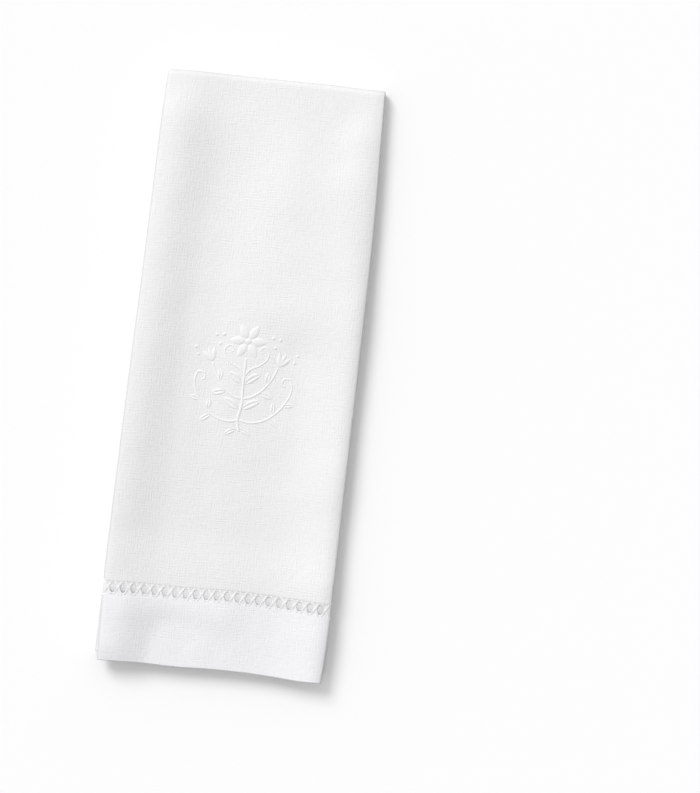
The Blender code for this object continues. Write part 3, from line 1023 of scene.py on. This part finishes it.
class Graph:
    """A material, with short ways to add the nodes that feed its shader."""

    def __init__(self, name, roughness, sheen):
        self.material = bpy.data.materials.new(name)
        self.material.use_nodes = True
        self.nodes = self.material.node_tree.nodes
        self.shader = self.nodes["Principled BSDF"]
        self.shader.inputs["Roughness"].default_value = roughness
        self.shader.inputs["Sheen Weight"].default_value = sheen
        self.shader.inputs["Sheen Roughness"].default_value = SHEEN_ROUGHNESS
        self.shader.inputs["Specular IOR Level"].default_value = SPECULAR

    def add(self, kind, inputs=None, **settings):
        node = self.nodes.new(kind)
        for name, value in settings.items():
            setattr(node, name, value)
        for name, value in (inputs or {}).items():
            self.feed(node.inputs[name], value)
        return node

    def feed(self, socket, value):
        if isinstance(value, bpy.types.NodeSocket):
            self.material.node_tree.links.new(value, socket)
        else:
            socket.default_value = value

    def math(self, operation, *values):
        node = self.add("ShaderNodeMath", operation=operation)
        for socket, value in zip(node.inputs, values):
            self.feed(socket, value)
        return node.outputs["Value"]

    def times(self, a, b):
        return self.math("MULTIPLY", a, b)

    def times_plus(self, a, b, more):
        return self.math("MULTIPLY_ADD", a, b, more)

    def flat_place(self):
        """The place on the flat cloth, in millimetres."""
        place = self.add("ShaderNodeUVMap", uv_map="flat_mm").outputs["UV"]
        parts = self.add("ShaderNodeSeparateXYZ", {"Vector": place})
        return parts.outputs["X"], parts.outputs["Y"]

    def noise(self, u, v, u_size, v_size, detail=1.0, shift=0.0):
        """Noise from 0 to 1 whose spots have a size each way. SHIFT picks another such noise."""
        place = self.add("ShaderNodeCombineXYZ", {
            "X": self.math("DIVIDE", u, u_size),
            "Y": self.math("DIVIDE", v, v_size),
            "Z": shift,
        })
        return self.add("ShaderNodeTexNoise", {
            "Vector": place.outputs["Vector"],
            "Scale": 1.0,
            "Detail": detail,
            "Roughness": NOISE_ROUGHNESS,
        }).outputs["Fac"]

    def tint(self, share, low, high):
        """A colour from LOW to HIGH."""
        node = self.add("ShaderNodeMix", data_type="RGBA", clamp_factor=True)
        self.feed(node.inputs[0], share)
        self.feed(node.inputs[6], low)
        self.feed(node.inputs[7], high)
        return node.outputs[2]

    def steepness(self):
        """Zero where the surface lies level and one where it stands upright."""
        normal = self.add("ShaderNodeNewGeometry").outputs["Normal"]
        level = self.add("ShaderNodeSeparateXYZ", {"Vector": normal}).outputs["Z"]
        return self.math("SUBTRACT", 1.0, self.times(level, level))

    def ramp(self, value, start, stop):
        """Zero up to START and one from STOP on, or the other way round."""
        return self.add("ShaderNodeMapRange", {
            "Value": value, "From Min": start, "From Max": stop,
        }, interpolation_type="SMOOTHSTEP").outputs["Result"]

    def shaded(self, share, colour, shade):
        """A colour that grows darker, by a factor, with a share."""
        node = self.add("ShaderNodeMix", data_type="RGBA", blend_type="MULTIPLY", clamp_factor=True)
        self.feed(node.inputs[0], share)
        self.feed(node.inputs[6], colour)
        self.feed(node.inputs[7], (shade, shade, shade, 1.0))
        return node.outputs[2]

    def bump(self, height):
        """Height in millimetres."""
        node = self.add("ShaderNodeBump", {"Strength": 1.0, "Distance": 0.001, "Height": height})
        self.feed(self.shader.inputs["Normal"], node.outputs["Normal"])


def linen_material():
    graph = Graph("white_linen", 0.92, 0.12)
    u, v = graph.flat_place()
    wander_u = graph.times(graph.noise(u, v, WANDER_WIDTH, WANDER_LENGTH, shift=3.0), WANDER)
    wander_v = graph.times(graph.noise(u, v, WANDER_LENGTH, WANDER_WIDTH, shift=8.0), WANDER)
    places = [graph.math("ADD", u, wander_u), graph.math("ADD", v, wander_v)]
    waves = [graph.math("SINE", graph.times(place, math.pi / YARN_PITCH)) for place in places]
    over = graph.times(*waves)
    warp, weft = (
        graph.times_plus(
            graph.math("ABSOLUTE", wave), YARN_CROWN, graph.times_plus(over, dip, YARN_DIP)
        )
        for wave, dip in zip(waves, (YARN_DIP, -YARN_DIP))
    )
    weave = graph.math("MAXIMUM", warp, weft)

    warp_slub = graph.noise(u, v, SLUB_WIDTH, SLUB_LENGTH, detail=2.0)
    weft_slub = graph.noise(u, v, SLUB_LENGTH, SLUB_WIDTH, detail=2.0, shift=5.0)
    fine_warp = graph.noise(u, v, FINE_WIDTH, FINE_LENGTH, shift=11.0)
    fine_weft = graph.noise(u, v, FINE_LENGTH, FINE_WIDTH, shift=17.0)
    warp_unevenness = graph.times(graph.math("ADD", warp_slub, fine_warp), WARP_SHARE)
    weft_unevenness = graph.times(graph.math("ADD", weft_slub, fine_weft), WEFT_SHARE)
    slubs = graph.math("ADD", warp_unevenness, weft_unevenness)
    for place in places:
        grain = graph.math("SINE", graph.times(place, 2 * math.pi / GRAIN_PITCH))
        slubs = graph.times_plus(grain, GRAIN_SHARE, slubs)
    graph.bump(graph.times_plus(weave, WEAVE_DEPTH, graph.times(slubs, SLUB_DEPTH)))

    hem_start = (BACK_LENGTH - HEM_DEPTH) / MM
    past_hem_start = graph.math("SUBTRACT", graph.math("ABSOLUTE", v), hem_start)
    # Painted shade: greyer in a trough, and towards the hem on the left
    trough = graph.times(graph.ramp(u, *TROUGH_SHADE_LEFT), graph.ramp(u, *TROUGH_SHADE_RIGHT))
    painted_shade = graph.times(graph.ramp(v, *PAINTED_SHADE_DOWN_TO_HEM), graph.ramp(u, *reversed(PAINTED_LIGHT_LEFT_TO_RIGHT)))
    painted_shade = graph.times_plus(trough, TROUGH_SHADE_SHARE, painted_shade)
    body_colour_and_shade = graph.tint(painted_shade, LINEN_COLOUR, LINEN_SHADE_COLOUR)
    # Painted light: the hem is lighter to the right; its own tint is HEM_COLOUR
    hem_colour_and_light = graph.tint(graph.ramp(u, *PAINTED_LIGHT_LEFT_TO_RIGHT), HEM_COLOUR, HEM_PAINTED_LIGHT_COLOUR)
    colour = graph.tint(graph.times(past_hem_start, HEM_BLEND), body_colour_and_shade, hem_colour_and_light)
    # Painted shade between the yarns and slubs, lighter on their tops
    light = graph.times_plus(slubs, LIGHT_BY_SLUBS, LIGHT_START)
    light = graph.times_plus(weave, LIGHT_BY_WEAVE, light)
    colour = graph.tint(light, LINEN_HOLLOW_SHADE, colour)

    band = (FRONT_LENGTH - HEM_DEPTH - BAND_HEIGHT / 2) / MM
    from_band = graph.math("ABSOLUTE", graph.math("SUBTRACT", v, band))
    # Painted shade on the flap under the band, and on the thin band and a little beside it
    on_flap = graph.math("GREATER_THAN", u, (PANEL + RIGHT_BEND) / MM)
    near_band = graph.math("LESS_THAN", from_band, UNDER_BAND_REACH)
    colour = graph.shaded(graph.times(on_flap, near_band), colour, UNDER_BAND_SHADE)
    colour = graph.shaded(graph.ramp(from_band, *BAND_SHADE_IN), colour, BAND_SHADE)
    # Painted shade along the right fold
    right = graph.times(graph.ramp(u, *RIGHT_SHADE_IN), graph.ramp(u, *RIGHT_SHADE_OUT))
    colour = graph.shaded(right, colour, RIGHT_SHADE)
    # Painted shade on steep faces, outside the band
    outside = graph.math("GREATER_THAN", from_band, SHADE_OUTSIDE_BAND)
    colour = graph.shaded(graph.times(graph.steepness(), outside), colour, STEEP_SHADE)
    graph.feed(graph.shader.inputs["Base Color"], colour)
    return graph.material


def thread_material(name, stitched):
    """White thread. Stitched thread lies in rows a stitch apart; the rest is twisted yarn."""
    graph = Graph(name, 0.55, 0.2)
    u, v = graph.flat_place()
    if stitched:
        row = graph.math("ABSOLUTE", graph.math("SINE", graph.times(v, math.pi / STITCH)))
        fibre = graph.noise(u, v, *STITCH_FIBRE, detail=2.0)
    else:
        wave = graph.times(u, 2 * math.pi / TWIST_WIDTH)
        wave = graph.times_plus(v, 2 * math.pi / TWIST_LENGTH, wave)
        row = graph.times_plus(graph.math("SINE", wave), 0.5, 0.5)
        fibre = graph.noise(u, v, *YARN_FIBRE, detail=2.0)
    graph.bump(graph.times_plus(row, ROW_DEPTH, graph.times(fibre, FIBRE_DEPTH)))
    # Painted shade between the rows and fibres, lighter on their tops
    light = graph.times_plus(row, LIGHT_BY_ROW, graph.times(fibre, LIGHT_BY_FIBRE))
    colour = graph.tint(light, THREAD_HOLLOW_SHADE, THREAD_COLOUR)
    graph.feed(graph.shader.inputs["Base Color"], colour)
    return graph.material


# The camera looks straight down. The towel's own Y axis leans this far to the picture's right
LEAN = math.radians(6.5)
FRAME_HEIGHT = 482.6 * MM
CAMERA_HEIGHT = 1.5
CAMERA_X = 67.1 * MM
CAMERA_Y = -5.7 * MM
SENSOR = 36.0

# A soft key light from the upper left of the picture, and a sky that is brightest overhead
KEY_STRENGTH = 1.72
KEY_ELEVATION = math.radians(42)
KEY_BEARING = math.radians(125)
KEY_ANGLE = math.radians(28)
SKY_LEVEL = 0.3
SKY_OVERHEAD = 0.59
SKY_FROM_KEY = 0.3


def camera():
    data = bpy.data.cameras.new("camera")
    data.sensor_width = SENSOR
    data.lens = SENSOR * (CAMERA_HEIGHT - CAD_BOX[1].z) / FRAME_HEIGHT
    data.clip_end = 10
    thing = bpy.data.objects.new("camera", data)
    right = Vector((math.cos(LEAN), math.sin(LEAN), 0))
    up = Vector((-math.sin(LEAN), math.cos(LEAN), 0))
    turn = Matrix((right, up, Vector((0, 0, 1)))).transposed().to_4x4()
    thing.matrix_world = Matrix.Translation((CAMERA_X, CAMERA_Y, CAMERA_HEIGHT)) @ turn
    bpy.context.scene.collection.objects.link(thing)
    bpy.context.scene.camera = thing


def key_light():
    data = bpy.data.lights.new("key", "SUN")
    data.energy = KEY_STRENGTH
    data.angle = KEY_ANGLE
    thing = bpy.data.objects.new("key", data)
    bearing = KEY_BEARING + LEAN
    towards = Vector((
        math.cos(KEY_ELEVATION) * math.cos(bearing),
        math.cos(KEY_ELEVATION) * math.sin(bearing),
        math.sin(KEY_ELEVATION),
    ))
    thing.rotation_euler = towards.to_track_quat("Z", "Y").to_euler()
    bpy.context.scene.collection.objects.link(thing)


def sky():
    """Soft white light from all round, stronger overhead and on the key light's side."""
    world = bpy.data.worlds.new("studio")
    world.use_nodes = True
    tree = world.node_tree
    direction = tree.nodes.new("ShaderNodeTexCoord")
    share = tree.nodes.new("ShaderNodeVectorMath")
    share.operation = "DOT_PRODUCT"
    bearing = KEY_BEARING + LEAN
    share.inputs[1].default_value = (
        SKY_FROM_KEY * math.cos(bearing), SKY_FROM_KEY * math.sin(bearing), SKY_OVERHEAD
    )
    strength = tree.nodes.new("ShaderNodeMath")
    strength.operation = "ADD"
    strength.inputs[1].default_value = SKY_LEVEL
    held = tree.nodes.new("ShaderNodeMath")
    held.operation = "MAXIMUM"
    held.inputs[1].default_value = 0.0
    background = tree.nodes["Background"]
    background.inputs["Color"].default_value = (1, 1, 1, 1)
    tree.links.new(direction.outputs["Generated"], share.inputs[0])
    tree.links.new(share.outputs["Value"], strength.inputs[0])
    tree.links.new(strength.outputs["Value"], held.inputs[0])
    tree.links.new(held.outputs["Value"], background.inputs["Strength"])
    bpy.context.scene.world = world


def floor():
    bpy.ops.mesh.primitive_plane_add(size=6)
    thing = bpy.context.object
    thing.name = "studio_floor"
    graph = Graph("floor_white", 1.0, 0.0)
    graph.shader.inputs["Specular IOR Level"].default_value = 0.0
    graph.shader.inputs["Base Color"].default_value = FLOOR_COLOUR
    thing.data.materials.append(graph.material)


def main():
    thread = thread_material("white_thread", stitched=False)
    towel = cloth(linen_material())
    bundles = hemstitching(thread)
    stitches = edge_stitches(thread)
    spray = embroidery(thread_material("satin_thread", stitched=True))
    sewn = [bundles, stitches, spray]
    for piece in [towel] + sewn:
        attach(piece, "root")
    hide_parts("towel")
    floor()
    sky()
    key_light()
    camera()
    bpy.context.scene.view_settings.view_transform = "Standard"


main()
